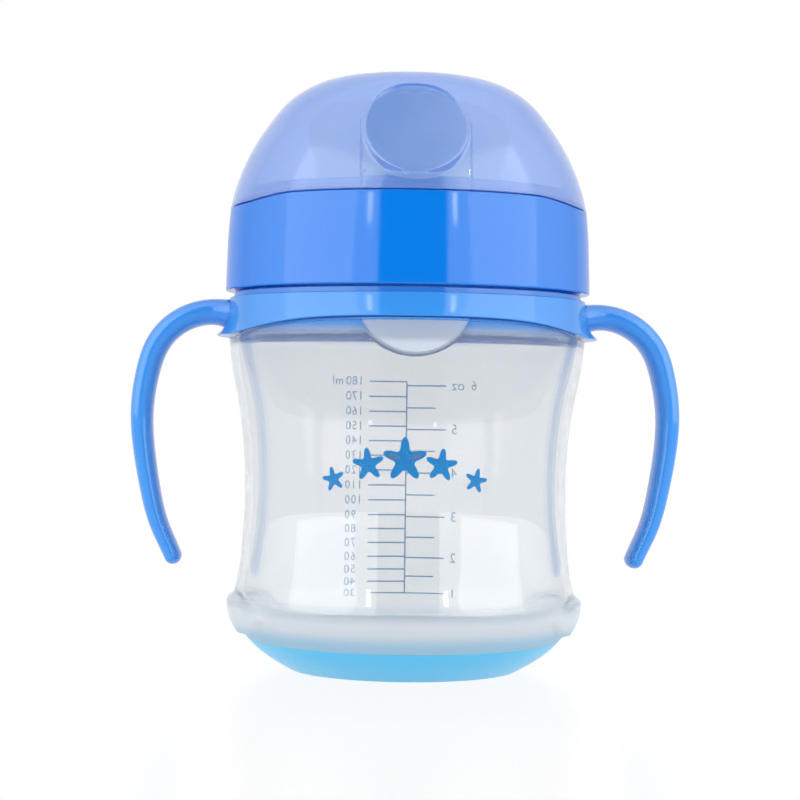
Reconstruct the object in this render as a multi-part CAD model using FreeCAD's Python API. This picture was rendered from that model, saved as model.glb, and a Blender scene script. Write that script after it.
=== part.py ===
"""Toddler's trainer cup with two handles, a soft spout under a screw collar, and a domed travel cap.

Millimetres. +Z is up, the cup stands on z = 0 with its axis on Z, and its front faces -Y.
One STEP file per separate piece is written to parts/.
"""
import FreeCAD, Part
import math
import os

from FreeCAD import Vector

# ---------------------------------------------------------------- driving dimensions
GAP = 0.3                       # general clearance between pieces that come apart
TOUCH = 0.15                    # clearance left at a face seal

# neck: its radius sets how wide the whole cup is, and every other radius steps off it
NECK_R = 32.3                   # outside of the threaded neck
NECK_WALL = 1.7
NECK_H = 12.8                   # threaded neck above the land
SEAT_STEP = 1.7                 # from the neck out to the land that the handle ring sits on
SEAT_H = 9.2

# cup wall, outside
SHOULDER_STEP = 2.25            # from the ring's land out to the wall under it
SHOULDER_Z = 67.0
WAIST_IN, WAIST_Z = 3.55, 37.0  # narrowest place of the hourglass, in from the shoulder
HEEL_IN, HEEL_Z = 1.4, 13.0     # widest place of the bowl, in from the shoulder
BOWL_IN = 11.65                 # from the heel in to the ring that the cup stands on
WALL = 1.6                      # wall of the clear cup

# soft sole moulded under the bowl
SOLE_T = 1.5                    # its thickness on the bowl
SOLE_TOP_Z = 6.3                # upper edge of the coloured band
SOLE_RECESS = 0.8               # hollow inside the foot ring
FOOT_W = 2.7                    # width of the foot ring
FLOOR_CLEAR = 1.7               # clear floor above the hollow

# low oval grip pads, one on each side of the bowl
PAD_PROUD = 1.3
PAD_HALF_W, PAD_HALF_H = 19.5, 4.4
PAD_DROP = 1.6                  # middle of the pads below the heel

# thread between neck and collar, right-handed
PITCH = 4.0
TOOTH_H = 1.3
TOOTH_BASE, TOOTH_CREST = 2.0, 1.1
THREAD_RISE = 2.8               # the neck's thread starts this far above its land

# half-round key pad on the cup's front, and its tongue in the handle ring
TAB_R = 11.07
TAB_RISE = 7.2                  # middle of the disc above the shoulder
TAB_PROUD = 0.95
TONGUE_HALF_W = 6.0
TONGUE_T = 1.1
TONGUE_H = 4.0                  # above the pad's top
KEYWAY_ROOM = 0.62              # over the tongue

# handle ring
RING_WALL = 2.0
RING_FLARE = 2.5                # how far its lower edge stands out at the sides
RING_ARCH = 3.2                 # how much higher its lower edge is at front and back
ARCH_IN = 0.8                   # the arch ends this far inside the ring's side
RING_LAND_W, RING_LAND_H = 1.1, 1.1     # raised land under the collar
HANDLE_DEPTH = 9.6              # width of the strap, front to back
HANDLE_STAND = 17.5             # from the ring out to the strap's centreline at its widest
HANDLE_CURL = 7.3               # how far the blunt tip comes back in
HANDLE_DROP = 51.2              # from the strap's root down to its tip
HANDLE_T_ROOT, HANDLE_T_TIP = 5.2, 3.4

# screw collar
COLLAR_WALL = 3.2
COLLAR_TAPER = 0.75
COLLAR_GAP = 0.3                # over the handle ring's raised land
DECK_T = 1.85                   # flat top that clamps the spout
CAP_LAND_RISE = 1.05            # land under the cap above the deck
CAP_LAND_W = 3.75
UPSTAND_T, UPSTAND_H = 1.7, 2.6
BEAD = 0.2                      # snap bead
DIP_W = 13.35                   # the seam between collar and cap drops over this width
DIP = 1.2                       # how far the seam drops at the sides

# soft spout
FLANGE_T = 2.0
SKIRT_T, SKIRT_H = 1.4, 3.6
SPOUT_T = 1.8
MOUND_H = 8.0                   # mound above the collar's deck
BILL_W, BILL_D = 41.6, 13.2     # mouthpiece at its widest
BILL_ROOM = 2.5                 # from its side out to the hole in the collar's deck
BILL_H = 24.0                   # mouthpiece above the collar's deck
SIP_HOLE_R, SIP_HOLE_STEP = 0.7, 3.4
SIP_HOLES = 4

# valve in the spout's throat
VALVE_RIM_H, VALVE_RIM_T = 2.6, 1.6
VALVE_DISC_T = 0.8
VALVE_SLIT_L, VALVE_SLIT_W = 8.0, 0.4

# domed travel cap
CAP_WALL = 2.0
CAP_ROOM = 1.15                 # between the mouthpiece's tip and the inside of the crown
CAP_BROW_OUT = 1.8              # where the side turns into the crown, out from the mouthpiece
CAP_BROW_DROP = 3.6
THUMB_W, THUMB_L = 20.6, 23.4   # oval thumb pad on the cap's front
THUMB_T = 2.2
THUMB_TOP_DROP = 4.1            # from the crown down to the pad's upper edge
THUMB_LIP_OUT = 0.65            # how far the pad's lower lip stands out from the rim
THUMB_LIP_RISE = 3.1            # the lip above the collar's land

# ---------------------------------------------------------------- places that follow
SEAT_R = NECK_R + SEAT_STEP
SHOULDER_R = SEAT_R + SHOULDER_STEP
WAIST_R = SHOULDER_R - WAIST_IN
HEEL_R = SHOULDER_R - HEEL_IN
FOOT_R = HEEL_R - BOWL_IN
SOLE_RECESS_R = FOOT_R - FOOT_W
FLOOR_UNDER_Z = SOLE_RECESS + FLOOR_CLEAR
PAD_Z = HEEL_Z - PAD_DROP
TAB_Z = SHOULDER_Z + TAB_RISE
TAB_FACE_R = SHOULDER_R + TAB_PROUD
MOUTH_R = NECK_R - NECK_WALL
SEAT_TOP_Z = SHOULDER_Z + SEAT_H
RIM_Z = SEAT_TOP_Z + NECK_H
THREAD_Z = SEAT_TOP_Z + THREAD_RISE
THREAD_RUN = RIM_Z - THREAD_Z - PITCH / 2 - TOOTH_BASE / 2
RING_BORE_R = SEAT_R + GAP
RING_TOP_R = RING_BORE_R + RING_WALL
ARCH_HALF_W = RING_TOP_R - ARCH_IN
RING_LOW_Z = SHOULDER_Z + GAP
RING_TOP_Z = SEAT_TOP_Z - RING_LAND_H
HANDLE_REACH = RING_TOP_R + HANDLE_STAND
COLLAR_BORE_R = NECK_R + TOOTH_H + GAP
COLLAR_R = COLLAR_BORE_R + COLLAR_WALL
COLLAR_TOP_R = COLLAR_R - COLLAR_TAPER
COLLAR_LOW_Z = SEAT_TOP_Z + COLLAR_GAP
UPSTAND_R = COLLAR_TOP_R - CAP_LAND_W
DIP_HALF_W = COLLAR_TOP_R - DIP_W
FLANGE_Z = RIM_Z + TOUCH
DECK_LOW_Z = FLANGE_Z + FLANGE_T + TOUCH
DECK_Z = DECK_LOW_Z + DECK_T
DECK_HOLE_R = BILL_W / 2 + BILL_ROOM
LAND_Z = DECK_Z + CAP_LAND_RISE
MOUND_R = DECK_HOLE_R - GAP - 0.1
THROAT_R = MOUND_R - SPOUT_T
CROWN_Z = DECK_Z + BILL_H + CAP_ROOM + CAP_WALL
CAP_H = CROWN_Z - LAND_Z
CAP_BROW_R = BILL_W / 2 + CAP_BROW_OUT
THUMB_LIP_R = COLLAR_TOP_R + THUMB_LIP_OUT


def plane_point(r, z):
    return Vector(r, 0, z)


def curve_through(points, start_dir=None, end_dir=None):
    """Smooth curve in the XZ plane through (radius, height) points."""
    curve = Part.BSplineCurve()
    vectors = [plane_point(r, z) for r, z in points]
    if start_dir and end_dir:
        curve.interpolate(Points=vectors, InitialTangent=plane_point(*start_dir),
                          FinalTangent=plane_point(*end_dir))
    else:
        curve.interpolate(Points=vectors)
    return curve


def offset_curve(curve, distance, first, last, count=14):
    """Curve at distance(z) to the left of curve's direction, between two parameters."""
    points = []
    for i in range(count + 1):
        u = first + (last - first) * i / count
        here = curve.value(u)
        along = curve.tangent(u)[0]
        d = distance(here.z)
        points.append((here.x - along.z * d, here.z + along.x * d))
    return curve_through(points)


def at_height(curve, z):
    """Parameter at which a rising curve reaches height z."""
    low, high = curve.FirstParameter, curve.LastParameter
    for _ in range(60):
        middle = 0.5 * (low + high)
        if curve.value(middle).z < z:
            low = middle
        else:
            high = middle
    return 0.5 * (low + high)


def lines(*points):
    """Straight edges through (radius, height) points."""
    vectors = [plane_point(r, z) for r, z in points]
    return [Part.LineSegment(a, b).toShape() for a, b in zip(vectors, vectors[1:])]


def turned(edges):
    """Solid of revolution about Z of a closed outline."""
    face = Part.Face(Part.Wire(Part.__sortEdges__(edges)))
    solid = face.revolve(Vector(0, 0, 0), Vector(0, 0, 1), 360)
    return Part.Solid(solid.Shells[0]) if solid.ShapeType != "Solid" else solid


def turned_polygon(*points):
    return turned(lines(*points, points[0]))


def tube(r_in, r_out, z_low, z_high):
    outer = Part.makeCylinder(r_out, z_high - z_low, Vector(0, 0, z_low))
    return outer.cut(Part.makeCylinder(r_in, z_high - z_low, Vector(0, 0, z_low)))


def block(x_half, y_low, y_high, z_low, z_high):
    corner = Vector(-x_half, y_low, z_low)
    return Part.makeBox(2 * x_half, y_high - y_low, z_high - z_low, corner)


def curve_edge(curve, first=None, last=None):
    first = curve.FirstParameter if first is None else first
    last = curve.LastParameter if last is None else last
    return curve.toShape(first, last)


def ends(edge):
    """First and last point of an edge as (radius, height)."""
    a = edge.valueAt(edge.FirstParameter)
    b = edge.valueAt(edge.LastParameter)
    return (a.x, a.z), (b.x, b.z)


def thread_ridge(root_r, outward, z_start):
    """Trapezoid ridge wound round the axis; its root is sunk into the wall it stands on."""
    sink = 0.25 * (-1 if outward else 1)
    rise = TOOTH_H * (1 if outward else -1)
    section = [(root_r + sink, -TOOTH_BASE / 2), (root_r + rise, -TOOTH_CREST / 2),
               (root_r + rise, TOOTH_CREST / 2), (root_r + sink, TOOTH_BASE / 2)]
    points = [plane_point(r, z) for r, z in section]
    profile = Part.makePolygon(points + points[:1])
    helix = Part.makeHelix(PITCH, THREAD_RUN, root_r)
    ridge = Part.Wire(helix.Edges).makePipeShell([profile], True, True)
    ridge = Part.Solid(ridge.Shells[0]) if ridge.ShapeType != "Solid" else ridge
    ridge.translate(Vector(0, 0, z_start))
    return ridge


# ---------------------------------------------------------------- cup and sole
def cup_wall_curve():
    """Outside of the cup from the foot ring to just below the shoulder."""
    bowl = HEEL_R - FOOT_R
    points = [(FOOT_R, 0.0),
              (FOOT_R + 0.31 * bowl, 0.16 * HEEL_Z),
              (FOOT_R + 0.585 * bowl, 0.34 * HEEL_Z),
              (FOOT_R + 0.78 * bowl, 0.525 * HEEL_Z),
              (FOOT_R + 0.935 * bowl, 0.76 * HEEL_Z),
              (HEEL_R, HEEL_Z),
              (HEEL_R - 0.33 * (HEEL_R - WAIST_R), HEEL_Z + 0.20 * (WAIST_Z - HEEL_Z)),
              (HEEL_R - 0.81 * (HEEL_R - WAIST_R), HEEL_Z + 0.54 * (WAIST_Z - HEEL_Z)),
              (WAIST_R, WAIST_Z),
              (WAIST_R + 0.12 * (SHOULDER_R - WAIST_R), WAIST_Z + 0.29 * (SHOULDER_Z - WAIST_Z)),
              (WAIST_R + 0.44 * (SHOULDER_R - WAIST_R), WAIST_Z + 0.58 * (SHOULDER_Z - WAIST_Z)),
              (WAIST_R + 0.83 * (SHOULDER_R - WAIST_R), WAIST_Z + 0.82 * (SHOULDER_Z - WAIST_Z)),
              (SHOULDER_R, SHOULDER_Z)]
    return curve_through(points)


def wall_inside_distance(z):
    """Wall thickness, growing below the heel so that the floor clears the sole."""
    t = min(max((HEEL_Z - z) / (HEEL_Z - SOLE_TOP_Z), 0.0), 1.0)
    return WALL + SOLE_T * t * t * (3 - 2 * t)


def rebate_edges(wall):
    """Faces that cup and sole share, from the band's upper edge in to the axis."""
    shared = offset_curve(wall, lambda z: SOLE_T, at_height(wall, 0.5),
                          at_height(wall, SOLE_TOP_Z + 1.0))
    low = at_height(shared, FLOOR_UNDER_Z)
    high = at_height(shared, SOLE_TOP_Z)
    bowl = curve_edge(shared, low, high)
    start, stop = ends(bowl)
    outer = wall.value(at_height(wall, SOLE_TOP_Z))
    return lines((0, FLOOR_UNDER_Z), start) + [bowl] + lines(stop, (outer.x, outer.z))


def cup_body():
    wall = cup_wall_curve()
    outside = curve_edge(wall, at_height(wall, SOLE_TOP_Z), wall.LastParameter)
    arch_top, throat_z = SHOULDER_Z + RING_ARCH, SHOULDER_Z + 6.2
    neck = lines((SHOULDER_R, SHOULDER_Z), (SHOULDER_R, arch_top - 0.4),
                 (SHOULDER_R - 0.4, arch_top), (SEAT_R, arch_top), (SEAT_R, SEAT_TOP_Z),
                 (NECK_R, SEAT_TOP_Z), (NECK_R, RIM_Z - 0.4), (NECK_R - 0.4, RIM_Z),
                 (MOUTH_R + 0.3, RIM_Z), (MOUTH_R, RIM_Z - 0.3), (MOUTH_R, throat_z))
    inner = offset_curve(wall, wall_inside_distance, at_height(wall, 1.2),
                         at_height(wall, SHOULDER_Z - 0.8), 24)
    inside = curve_edge(inner)
    floor_end, wall_top = ends(inside)
    narrowing = wall_top[0] - MOUTH_R
    throat = curve_through([wall_top, (wall_top[0] - 0.175 * narrowing, SHOULDER_Z + 1.2),
                            (wall_top[0] - 0.6 * narrowing, SHOULDER_Z + 3.2),
                            (MOUTH_R + 0.1 * narrowing, SHOULDER_Z + 4.9), (MOUTH_R, throat_z)])
    floor = lines(floor_end, (0, floor_end[1]), (0, FLOOR_UNDER_Z))
    edges = rebate_edges(wall) + [outside] + neck
    body = turned(edges + [curve_edge(throat), inside] + floor)
    neck_core = Part.makeCylinder(SEAT_R, 2 * SEAT_H, Vector(0, 0, SHOULDER_Z - 1))
    body = body.cut(arch_prism(-GAP, SEAT_H).cut(neck_core))
    for piece in (grip_pads(wall), front_tab(), thread_ridge(NECK_R, True, THREAD_Z)):
        body = body.fuse(piece)
    return body


def grip_pads(wall):
    """Two low ovals that stand out from the bowl at its sides."""
    low, high = at_height(wall, SOLE_TOP_Z + 0.2), at_height(wall, PAD_Z + PAD_HALF_H + 2.0)
    proud = curve_edge(offset_curve(wall, lambda z: -PAD_PROUD, low, high))
    sunk = curve_edge(offset_curve(wall, lambda z: 0.6, low, high))
    (a, b), (c, d) = ends(proud), ends(sunk)
    skin = turned([proud, sunk] + lines(a, c) + lines(b, d))
    oval = Part.Ellipse(Vector(0, 0, 0), PAD_HALF_W, PAD_HALF_H).toShape()
    oval.rotate(Vector(0, 0, 0), Vector(1, 0, 0), 90)
    oval.rotate(Vector(0, 0, 0), Vector(0, 0, 1), 90)
    reach = HEEL_R + 3 * PAD_PROUD
    oval.translate(Vector(-reach, 0, PAD_Z))
    prism = Part.Face(Part.Wire([oval])).extrude(Vector(2 * reach, 0, 0))
    return skin.common(prism)


def tab_top():
    """Height of the pad's top, just under the ring's arch."""
    return ring_low_edge(TAB_R) - GAP


def front_tab():
    """Half-round pad on the front wall, with a tongue that keys the handle ring."""
    disc = Part.makeCylinder(TAB_R, SHOULDER_R + 6, Vector(0, 0, TAB_Z), Vector(0, -1, 0))
    top = tab_top()
    pad = tube(SHOULDER_R - 1.2, TAB_FACE_R, TAB_Z - TAB_R - 1, top).common(disc)
    tongue = tube(SEAT_R - 0.4, SEAT_R + TONGUE_T, SHOULDER_Z, top + TONGUE_H)
    tongue = tongue.common(block(TONGUE_HALF_W, -SHOULDER_R, 0, SHOULDER_Z, RIM_Z))
    return pad.fuse(tongue)


def base_sole():
    wall = cup_wall_curve()
    bowl = curve_edge(wall, wall.FirstParameter, at_height(wall, SOLE_TOP_Z))
    under = lines((FOOT_R, 0), (SOLE_RECESS_R, 0), (SOLE_RECESS_R - 0.6, SOLE_RECESS),
                  (0, SOLE_RECESS), (0, FLOOR_UNDER_Z))
    return turned(rebate_edges(wall) + [bowl] + under)


# ---------------------------------------------------------------- handle ring
def ring_low_edge(x):
    """Height of the ring's lower edge: arched over the front and back, low at the sides."""
    return RING_LOW_Z + RING_ARCH * (1 - min(abs(x) / ARCH_HALF_W, 1.0) ** 4)


def arch_prism(lift, height):
    """Block between the ring's arched lower edge, moved up by lift, and a level height away."""
    reach = RING_TOP_R + RING_FLARE + 1
    y = -reach - 5
    half = [0, 0.31, 0.62, 0.8, 0.9, 1.0]
    xs = [-share * ARCH_HALF_W for share in half[:0:-1]] + [share * ARCH_HALF_W for share in half]
    xs = [-reach] + xs + [reach]
    arch = Part.BSplineCurve()
    arch.interpolate(Points=[Vector(x, y, ring_low_edge(x) + lift) for x in xs])
    edge_z, far_z = ring_low_edge(reach) + lift, RING_LOW_Z + height
    corners = [Vector(reach, y, edge_z), Vector(reach, y, far_z), Vector(-reach, y, far_z),
               Vector(-reach, y, edge_z)]
    sides = [Part.LineSegment(a, b).toShape() for a, b in zip(corners, corners[1:])]
    face = Part.Face(Part.Wire([arch.toShape()] + sides))
    return face.extrude(Vector(0, -2 * y, 0))


def handle(side):
    """One open C of the handle pair: an oval strap on a smooth centreline."""
    root_z = RING_TOP_Z - HANDLE_T_ROOT / 2 - 0.4
    shape = [(0.2775, 0), (0.600, 0.043), (0.8155, 0.121), (0.9385, 0.238), (1, 0.398),
             (0.969, 0.553), (0.8985, 0.697), (0.785, 0.844), (0.662, 0.9375)]
    path = [(RING_TOP_R + HANDLE_STAND * out, root_z - HANDLE_DROP * down) for out, down in shape]
    tip = (HANDLE_REACH - HANDLE_CURL, root_z - HANDLE_DROP)
    path = [(RING_BORE_R + 1.0, root_z)] + path + [tip]
    line = curve_through([(side * x, z) for x, z in path])
    first, last = line.FirstParameter, line.LastParameter
    nose = HANDLE_T_TIP / 2 / line.length()
    steps = [i / 10 * (1 - nose) for i in range(11)]
    steps += [1 - nose + nose * f for f in (0.45, 0.75, 0.93, 0.995)]
    sections = []
    for step in steps:
        u = line.parameterAtDistance(line.length() * step, first) if step < 1 else last
        here, along = line.value(u), line.tangent(u)[0]
        round_off = math.sqrt(max(1 - max((step - 1 + nose) / nose, 0) ** 2, 0.0))
        thick = HANDLE_T_ROOT + (HANDLE_T_TIP - HANDLE_T_ROOT) * step ** 1.5
        major = Vector(0, 1, 0)
        oval = Part.Ellipse(here + major * (HANDLE_DEPTH / 2 * round_off),
                            here + along.cross(major) * (thick / 2 * round_off), here)
        sections.append(Part.Wire([oval.toShape()]))
    return Part.makeLoft(sections, True, False)


def handle_ring():
    low_r = RING_TOP_R + RING_FLARE
    skirt = curve_through([(low_r, RING_LOW_Z), (low_r - 1.1, RING_LOW_Z + 1.4),
                           (RING_TOP_R + 0.5, RING_LOW_Z + 3.6), (RING_TOP_R, RING_TOP_Z - 0.5)])
    land_r = RING_BORE_R + RING_LAND_W
    rest = lines((RING_TOP_R, RING_TOP_Z - 0.5), (RING_TOP_R - 0.5, RING_TOP_Z),
                 (land_r, RING_TOP_Z), (land_r, SEAT_TOP_Z), (RING_BORE_R, SEAT_TOP_Z),
                 (RING_BORE_R, RING_LOW_Z), (low_r, RING_LOW_Z))
    ring = turned([curve_edge(skirt)] + rest).cut(arch_prism(0, -SEAT_H))
    keyway_top = tab_top() + TONGUE_H + KEYWAY_ROOM
    keyway = tube(RING_BORE_R - 1, SEAT_R + TONGUE_T + GAP, RING_LOW_Z - 1, keyway_top)
    slot = block(TONGUE_HALF_W + GAP, -low_r, 0, RING_LOW_Z - 1, SEAT_TOP_Z)
    ring = ring.cut(keyway.common(slot))
    bore = Part.makeCylinder(RING_BORE_R, 20, Vector(0, 0, RING_LOW_Z - 5))
    for side in (-1, 1):
        ring = ring.fuse(handle(side).cut(bore))
    return ring


# ---------------------------------------------------------------- collar
def seam_block(lift):
    """Everything above the seam between collar and cap, which drops at the sides."""
    edge, y = COLLAR_TOP_R, -COLLAR_R - 5
    z = LAND_Z + lift
    ramp = [(0.0, 0.0), (0.3, 0.22), (0.6, 0.8), (0.78, 0.98), (1.0, 1.0)]
    right = [(DIP_HALF_W + out * DIP_W, z - drop * DIP) for out, drop in ramp]
    right.append((edge + 2, z - DIP))
    ends_up = [(edge + 2, z + 2 * CAP_H), (-edge - 2, z + 2 * CAP_H)]
    mirrored = [(-x, h) for x, h in reversed(right)]
    outline = mirrored + right
    curves = []
    for run, sign in ((mirrored, 1), (right, -1)):
        bend_line = Part.BSplineCurve()
        bend_line.interpolate(Points=[Vector(x, y, h) for x, h in run])
        curves.append(bend_line.toShape())
    flat = Part.LineSegment(Vector(-DIP_HALF_W, y, z), Vector(DIP_HALF_W, y, z)).toShape()
    loop = [outline[-1]] + ends_up + [outline[0]]
    sides = [Part.LineSegment(Vector(a[0], y, a[1]), Vector(b[0], y, b[1])).toShape()
             for a, b in zip(loop, loop[1:])]
    face = Part.Face(Part.Wire(Part.__sortEdges__(curves + [flat] + sides)))
    return face.extrude(Vector(0, -2 * y, 0))


def collar():
    side = curve_through([(COLLAR_R, COLLAR_LOW_Z + 0.5), (COLLAR_R - 0.2, COLLAR_LOW_Z + 7.5),
                          (COLLAR_R - 0.4, COLLAR_LOW_Z + 12.5), (COLLAR_TOP_R, LAND_Z)])
    up_in, up_top = UPSTAND_R - UPSTAND_T, LAND_Z + UPSTAND_H
    bead_z = up_top - 0.9
    rest = lines((COLLAR_TOP_R, LAND_Z), (UPSTAND_R, LAND_Z), (UPSTAND_R, bead_z - 0.5),
                 (UPSTAND_R + BEAD, bead_z), (UPSTAND_R, bead_z + 0.5), (UPSTAND_R - 0.3, up_top),
                 (up_in + 0.3, up_top), (up_in, up_top - 0.3), (up_in, DECK_Z),
                 (DECK_HOLE_R + 0.3, DECK_Z), (DECK_HOLE_R, DECK_Z - 0.3),
                 (DECK_HOLE_R, DECK_LOW_Z), (COLLAR_BORE_R, DECK_LOW_Z),
                 (COLLAR_BORE_R, COLLAR_LOW_Z), (COLLAR_R - 0.5, COLLAR_LOW_Z),
                 (COLLAR_R, COLLAR_LOW_Z + 0.5))
    shell = turned([curve_edge(side)] + rest)
    keep = Part.makeCylinder(UPSTAND_R + BEAD + 0.05, 2 * CAP_H, Vector(0, 0, DECK_Z))
    shell = shell.cut(seam_block(0.0).cut(keep))
    return shell.fuse(thread_ridge(COLLAR_BORE_R, False, THREAD_Z + PITCH / 2))


# ---------------------------------------------------------------- spout and valve
def bill(shrink, z_low):
    """Flattened mouthpiece as a loft of ovals, made smaller all round by shrink."""
    half_w, half_d = BILL_W / 2, BILL_D / 2
    shape = [(0.13, 0.91, 1.80), (0.30, 0.89, 1.36), (0.46, 0.96, 1.14), (0.63, 1.00, 1.00),
             (0.76, 0.97, 0.88), (0.88, 0.83, 0.73), (0.95, 0.64, 0.54)]
    top = DECK_Z + BILL_H - shrink
    sections = []
    for share, wide, deep in [(0.0, 0.91, 1.80)] + shape + [(1.0, 0.34, 0.22)]:
        z = z_low + (top - z_low) * share
        width = half_w * wide - shrink
        depth = max(half_d * deep - shrink, SIP_HOLE_R + 0.4)
        sections.append(Part.Wire([Part.Ellipse(Vector(0, 0, z), width, depth).toShape()]))
    return Part.makeLoft(sections, True, False)


def mound(radius, top_z, z_low):
    """Solid of the round mound under the mouthpiece."""
    shoulder = curve_through([(radius, DECK_Z), (radius - 1.5, DECK_Z + 0.36 * (top_z - DECK_Z)),
                              (0.62 * radius, DECK_Z + 0.86 * (top_z - DECK_Z)), (0, top_z)],
                             (0, 1), (-1, 0))
    return turned([curve_edge(shoulder)] + lines((0, top_z), (0, z_low), (radius, z_low),
                                                 (radius, DECK_Z)))


def soft_spout():
    flange_r = COLLAR_BORE_R - TOOTH_H / 2
    top_z = DECK_Z + MOUND_H
    skirt_r = MOUTH_R - GAP
    outer = mound(MOUND_R, top_z, FLANGE_Z).fuse(bill(0.0, DECK_Z + 1.0))
    outer = outer.fuse(Part.makeCylinder(flange_r, FLANGE_T, Vector(0, 0, FLANGE_Z)))
    outer = outer.fuse(tube(skirt_r - SKIRT_T, skirt_r, FLANGE_Z - SKIRT_H, FLANGE_Z + 0.5))
    ledge_z = DECK_Z - 0.6
    inner = mound(THROAT_R - 1.2, top_z - SPOUT_T, FLANGE_Z - 1)
    throat = Part.makeCylinder(THROAT_R, ledge_z - FLANGE_Z + 1, Vector(0, 0, FLANGE_Z - 1))
    spout = outer
    for hollow in (inner, throat, bill(SPOUT_T, DECK_Z + 1.0)):
        spout = spout.cut(hollow)
    for i in range(SIP_HOLES):
        x = (i - (SIP_HOLES - 1) / 2) * SIP_HOLE_STEP
        place = Vector(x, 0, DECK_Z + BILL_H - 4 * SPOUT_T)
        spout = spout.cut(Part.makeCylinder(SIP_HOLE_R, 8 * SPOUT_T, place))
    return spout


def spout_valve():
    """Slit disc in a rim that sits under the ledge of the spout's throat."""
    top = DECK_Z - 0.6
    rim = tube(THROAT_R - VALVE_RIM_T, THROAT_R - 0.05, top - VALVE_RIM_H, top)
    inner_r, middle = THROAT_R - VALVE_RIM_T, top - VALVE_RIM_H / 2
    disc = turned_polygon((0, middle + 1.2), (0.35 * inner_r, middle + 0.9), (inner_r + 0.2, middle),
                          (inner_r + 0.2, middle - VALVE_DISC_T),
                          (0.35 * inner_r, middle + 0.9 - VALVE_DISC_T),
                          (0, middle + 1.2 - VALVE_DISC_T))
    valve = rim.fuse(disc)
    half_l, half_w = VALVE_SLIT_L / 2, VALVE_SLIT_W / 2
    for across in (block(half_l, -half_w, half_w, middle - 3, middle + 3),
                   block(half_w, -half_l, half_l, middle - 3, middle + 3)):
        valve = valve.cut(across)
    return valve


# ---------------------------------------------------------------- travel cap
def cap_curve():
    """Outside of the dome from below its rim to the crown."""
    brow_z = CROWN_Z - CAP_BROW_DROP
    low_z = LAND_Z - DIP
    rise, pull = brow_z - low_z, COLLAR_TOP_R - CAP_BROW_R
    points = [(COLLAR_TOP_R, low_z), (COLLAR_TOP_R - 0.05 * pull, low_z + 0.13 * rise),
              (COLLAR_TOP_R - 0.17 * pull, low_z + 0.335 * rise),
              (COLLAR_TOP_R - 0.33 * pull, low_z + 0.53 * rise),
              (COLLAR_TOP_R - 0.56 * pull, low_z + 0.735 * rise),
              (COLLAR_TOP_R - 0.79 * pull, low_z + 0.90 * rise),
              (CAP_BROW_R, brow_z),
              (0.76 * CAP_BROW_R, CROWN_Z - 0.30 * CAP_BROW_DROP),
              (0.40 * CAP_BROW_R, CROWN_Z - 0.04 * CAP_BROW_DROP),
              (0, CROWN_Z)]
    return curve_through(points, (0, 1), (-1, 0))


def thumb_pad(depth_low, depth_high):
    """Oval prism on the cap's front, measured along the pad's outward normal."""
    top = Vector(0, -CAP_BROW_R - 0.6, CROWN_Z - THUMB_TOP_DROP)
    lip = Vector(0, -THUMB_LIP_R, LAND_Z + THUMB_LIP_RISE)
    along = (lip - top).normalize()
    normal = Vector(0, along.z, -along.y)
    centre = (top + lip) * 0.5 + normal * depth_low
    oval = Part.Ellipse(centre + along * (THUMB_L / 2), centre + Vector(THUMB_W / 2, 0, 0), centre)
    face = Part.Face(Part.Wire([oval.toShape()]))
    return face.extrude(normal * (depth_high - depth_low))


def travel_cap():
    outer = cap_curve()
    inner = offset_curve(outer, lambda z: CAP_WALL, outer.FirstParameter, outer.LastParameter, 22)
    skin, lining = curve_edge(outer), curve_edge(inner)
    (rim_out, top_out), (rim_in, top_in) = ends(skin), ends(lining)
    top_in = (0, top_in[1])
    dome = turned([skin] + lines(top_out, (0, rim_out[1]), rim_out))
    hollow = turned([lining] + lines(top_in, (0, rim_in[1] - 5), (rim_in[0], rim_in[1] - 5), rim_in))
    land_x = THUMB_W / 2 + 0.1
    inner_land = dome.common(block(land_x, -COLLAR_R, -UPSTAND_R - 0.5, LAND_Z - 2, LAND_Z + 6))
    bead = tube(UPSTAND_R + BEAD + GAP, COLLAR_TOP_R - 1.5, LAND_Z + GAP, LAND_Z + 1.2)
    cap = dome.cut(hollow).fuse(inner_land).fuse(bead)
    cap = cap.cut(thumb_pad(0.0, 8.0)).fuse(thumb_pad(-THUMB_T, 0.0))
    return cap.common(seam_block(GAP))


PIECES = {
    "cup_body": cup_body,
    "base_sole": base_sole,
    "handle_ring": handle_ring,
    "collar": collar,
    "soft_spout": soft_spout,
    "spout_valve": spout_valve,
    "travel_cap": travel_cap,
}

os.makedirs("parts", exist_ok=True)
for name, make in PIECES.items():
    shape = make()
    solids = shape.Solids
    box = shape.BoundBox
    print(f"{name}: {len(solids)} solid, valid {shape.isValid()}, {shape.Volume / 1000:.2f} cm3, "
          f"x {box.XMin:.1f}..{box.XMax:.1f} y {box.YMin:.1f}..{box.YMax:.1f} "
          f"z {box.ZMin:.2f}..{box.ZMax:.2f}")
    whole = solids[0] if len(solids) == 1 else Part.makeCompound(solids)
    whole.exportStep(f"parts/{name}.step")
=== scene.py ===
"""Toddler's trainer cup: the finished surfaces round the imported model, in a white studio.

Shapes are worked out in millimetres as numpy arrays and go into meshes in metres. +Z is up, the
cup's axis is Z and its front faces -Y. An azimuth runs from the front towards +X.
"""
import math

import bpy
import numpy as np
from mathutils import Matrix, Vector


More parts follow.
